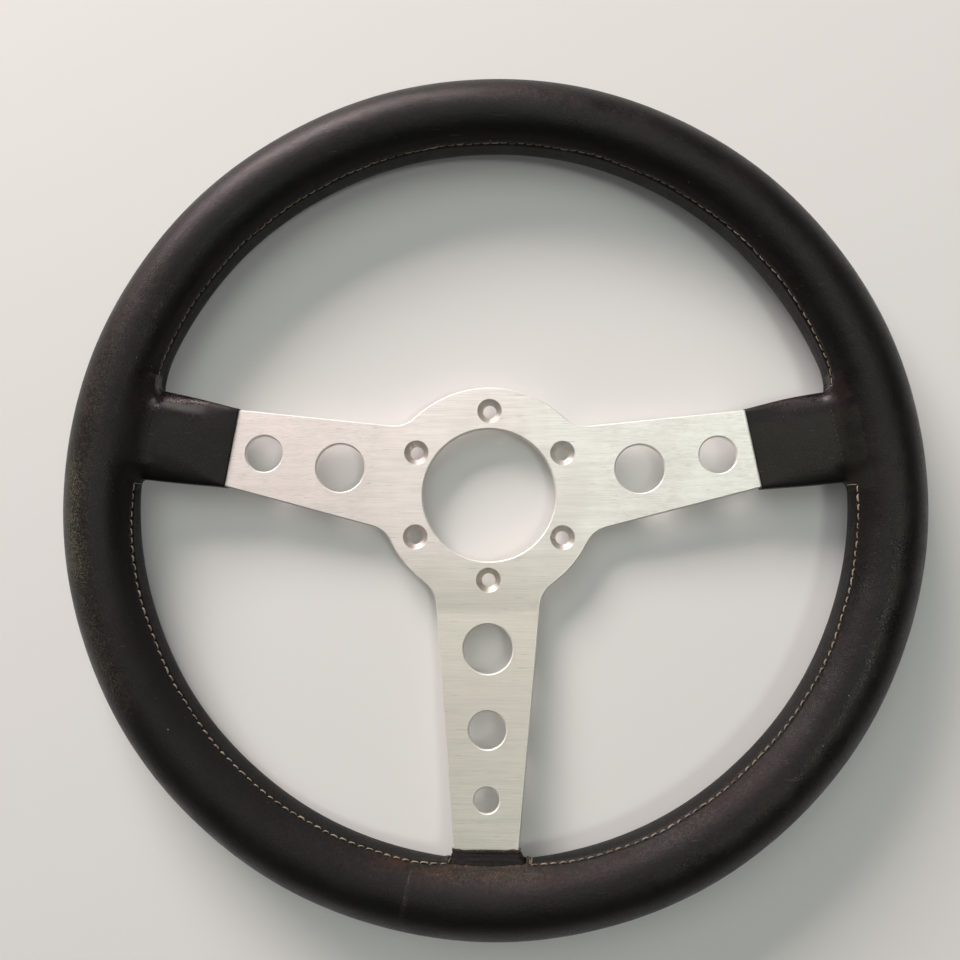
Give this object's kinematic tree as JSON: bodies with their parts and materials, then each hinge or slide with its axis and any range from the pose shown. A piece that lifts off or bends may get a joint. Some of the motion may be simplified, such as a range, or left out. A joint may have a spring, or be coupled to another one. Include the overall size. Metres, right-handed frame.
{
  "type": "steering wheel",
  "caption": "Three-spoke aluminium steering wheel with a hand-stitched black leather rim and a six-bolt hub pattern.",
  "frame": {"origin": "centre of the centre bore at the spoke plate's back face, where the wheel seats on its hub", "axes": "+Z along the steering axis towards the driver, +Y to the top of the wheel with the lone spoke at -Y, +X to the driver's right"},
  "size_m": [0.35, 0.35, 0.0302],
  "materials": {
    "brushed_plate": "brushed",
    "hoop_aluminium": "satin",
    "rivet_steel": "satin",
    "foam": "matte",
    "black_leather": "satin",
    "pale_thread": "matte",
    "dark_thread": "matte"
  },
  "bodies": {
    "root": {"spoke_plate": "brushed_plate", "rim_hoop": "hoop_aluminium", "left_arm_rivets": "rivet_steel", "right_arm_rivets": "rivet_steel", "bottom_arm_rivets": "rivet_steel", "rim_padding": "foam", "left_ear_padding": "foam", "right_ear_padding": "foam", "rim_leather": "black_leather", "left_ear_leather": "black_leather", "right_ear_leather": "black_leather", "bottom_collar": "black_leather", "upper_seam_thread": "pale_thread", "lower_left_seam_thread": "pale_thread", "lower_right_seam_thread": "pale_thread", "left_root_thread": "dark_thread", "right_root_thread": "dark_thread", "left_sleeve_thread": "dark_thread", "right_sleeve_thread": "dark_thread"}
  },
  "joints": []
}
